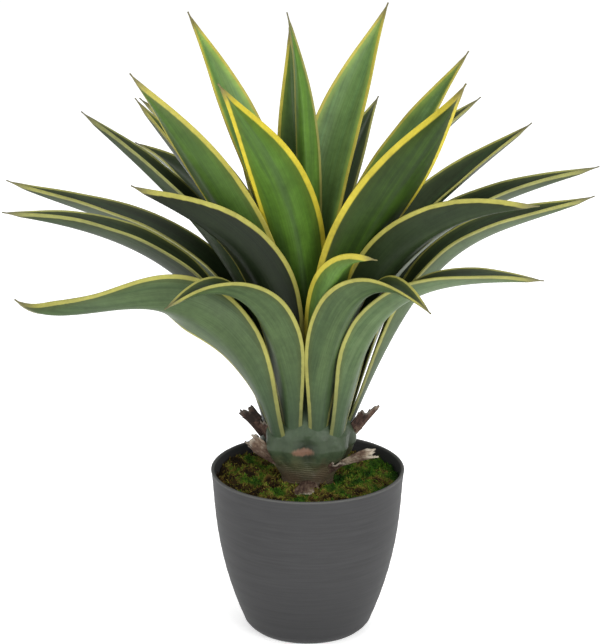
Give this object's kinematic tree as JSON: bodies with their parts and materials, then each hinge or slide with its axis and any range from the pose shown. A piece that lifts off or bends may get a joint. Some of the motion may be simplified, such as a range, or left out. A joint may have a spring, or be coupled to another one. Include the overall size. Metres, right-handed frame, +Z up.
{
  "type": "potted agave",
  "caption": "Rosette of long, channelled, yellow-edged agave leaves on a short stem, in a round tapering pot filled with soil and moss.",
  "frame": {"origin": "middle of the flat face under the pot, on the pot's axis", "axes": "+Z up along the pot's axis; the front of the plant, as pictured, is at -Y, and +X is to its right"},
  "size_m": [0.5494, 0.3912, 0.585],
  "materials": {
    "pot": "matte",
    "soil": "matte",
    "moss": "matte",
    "trunk": "matte",
    "leaf": "satin"
  },
  "bodies": {
    "root": {"pot": "pot", "soil": "soil", "moss": "moss", "trunk": "trunk", "leaf_01": "leaf", "leaf_02": "leaf", "leaf_03": "leaf", "leaf_04": "leaf", "leaf_05": "leaf", "leaf_06": "leaf", "leaf_07": "leaf", "leaf_08": "leaf", "leaf_09": "leaf", "leaf_10": "leaf", "leaf_11": "leaf", "leaf_12": "leaf", "leaf_13": "leaf", "leaf_14": "leaf", "leaf_15": "leaf", "leaf_16": "leaf", "leaf_17": "leaf", "leaf_18": "leaf", "leaf_19": "leaf", "leaf_20": "leaf", "leaf_21": "leaf", "leaf_22": "leaf", "leaf_23": "leaf", "leaf_24": "leaf", "leaf_25": "leaf", "leaf_26": "leaf", "leaf_27": "leaf", "leaf_28": "leaf", "leaf_29": "leaf", "leaf_30": "leaf", "leaf_31": "leaf", "leaf_32": "leaf", "leaf_33": "leaf", "leaf_34": "leaf"}
  },
  "joints": []
}
